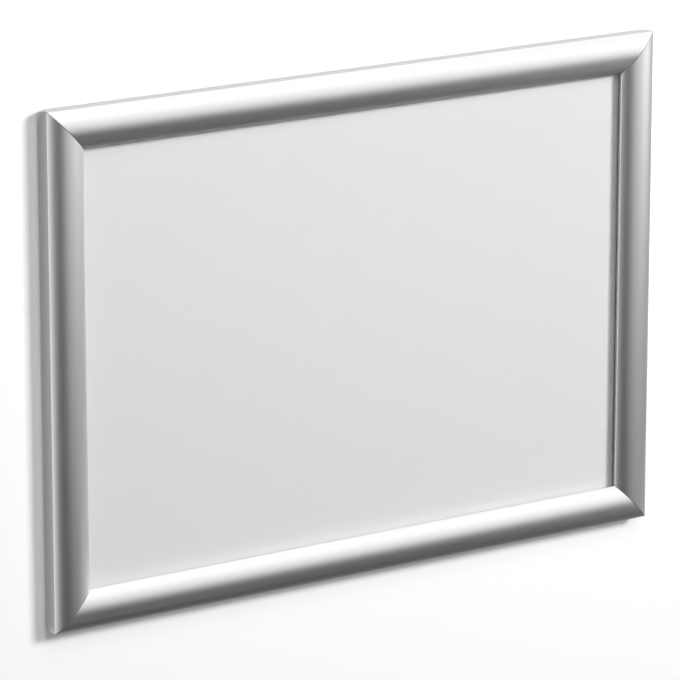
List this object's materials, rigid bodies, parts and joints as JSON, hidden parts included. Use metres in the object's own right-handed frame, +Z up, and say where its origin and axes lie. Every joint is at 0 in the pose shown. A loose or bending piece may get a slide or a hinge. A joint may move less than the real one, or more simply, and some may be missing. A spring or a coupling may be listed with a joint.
{
  "type": "snap frame",
  "caption": "Landscape wall frame with hinged, crowned snap rails mitred at the corners, over a pale back panel and a clear cover.",
  "frame": {"origin": "middle of the frame on the wall plane", "axes": "+X along the frame's width, to the right seen from the front; +Y into the wall; +Z up; the front faces -Y"},
  "size_m": [0.45, 0.0165, 0.327],
  "materials": {
    "anodised": "satin anodised, fine grain along the rail",
    "mill": "plain extruded",
    "spring_steel": "rolled strip",
    "key_steel": "zinc plated",
    "panel": "plain sheet",
    "cover": "clear, anti-glare"
  },
  "bodies": {
    "base": {"base_rail_top": "mill", "base_rail_bottom": "mill", "base_rail_left": "mill", "base_rail_right": "mill", "corner_key_top_left": "key_steel", "corner_key_top_right": "key_steel", "corner_key_bottom_left": "key_steel", "corner_key_bottom_right": "key_steel", "back_panel": "panel", "clear_cover": "cover", "spring_top_1": "spring_steel", "spring_top_2": "spring_steel", "spring_bottom_1": "spring_steel", "spring_bottom_2": "spring_steel", "spring_left_1": "spring_steel", "spring_left_2": "spring_steel", "spring_right_1": "spring_steel", "spring_right_2": "spring_steel"},
    "top_rail": {"snap_rail_top": "anodised"},
    "bottom_rail": {"snap_rail_bottom": "anodised"},
    "left_rail": {"snap_rail_left": "anodised"},
    "right_rail": {"snap_rail_right": "anodised"}
  },
  "joints": [
    {"name": "hinge_top", "type": "hinge", "parent": "base", "child": "top_rail", "pos_m": [0, -0.0038, 0.1611], "axis": [-1, 0, 0], "range_deg": [0, 95], "deforming": ["spring_top_1", "spring_top_2"]},
    {"name": "hinge_bottom", "type": "hinge", "parent": "base", "child": "bottom_rail", "pos_m": [0, -0.0038, -0.1611], "axis": [1, 0, 0], "range_deg": [0, 95], "deforming": ["spring_bottom_1", "spring_bottom_2"]},
    {"name": "hinge_left", "type": "hinge", "parent": "base", "child": "left_rail", "pos_m": [-0.2226, -0.0038, 0], "axis": [0, 0, -1], "range_deg": [0, 95], "deforming": ["spring_left_1", "spring_left_2"]},
    {"name": "hinge_right", "type": "hinge", "parent": "base", "child": "right_rail", "pos_m": [0.2226, -0.0038, 0], "axis": [0, 0, 1], "range_deg": [0, 95], "deforming": ["spring_right_1", "spring_right_2"]}
  ]
}
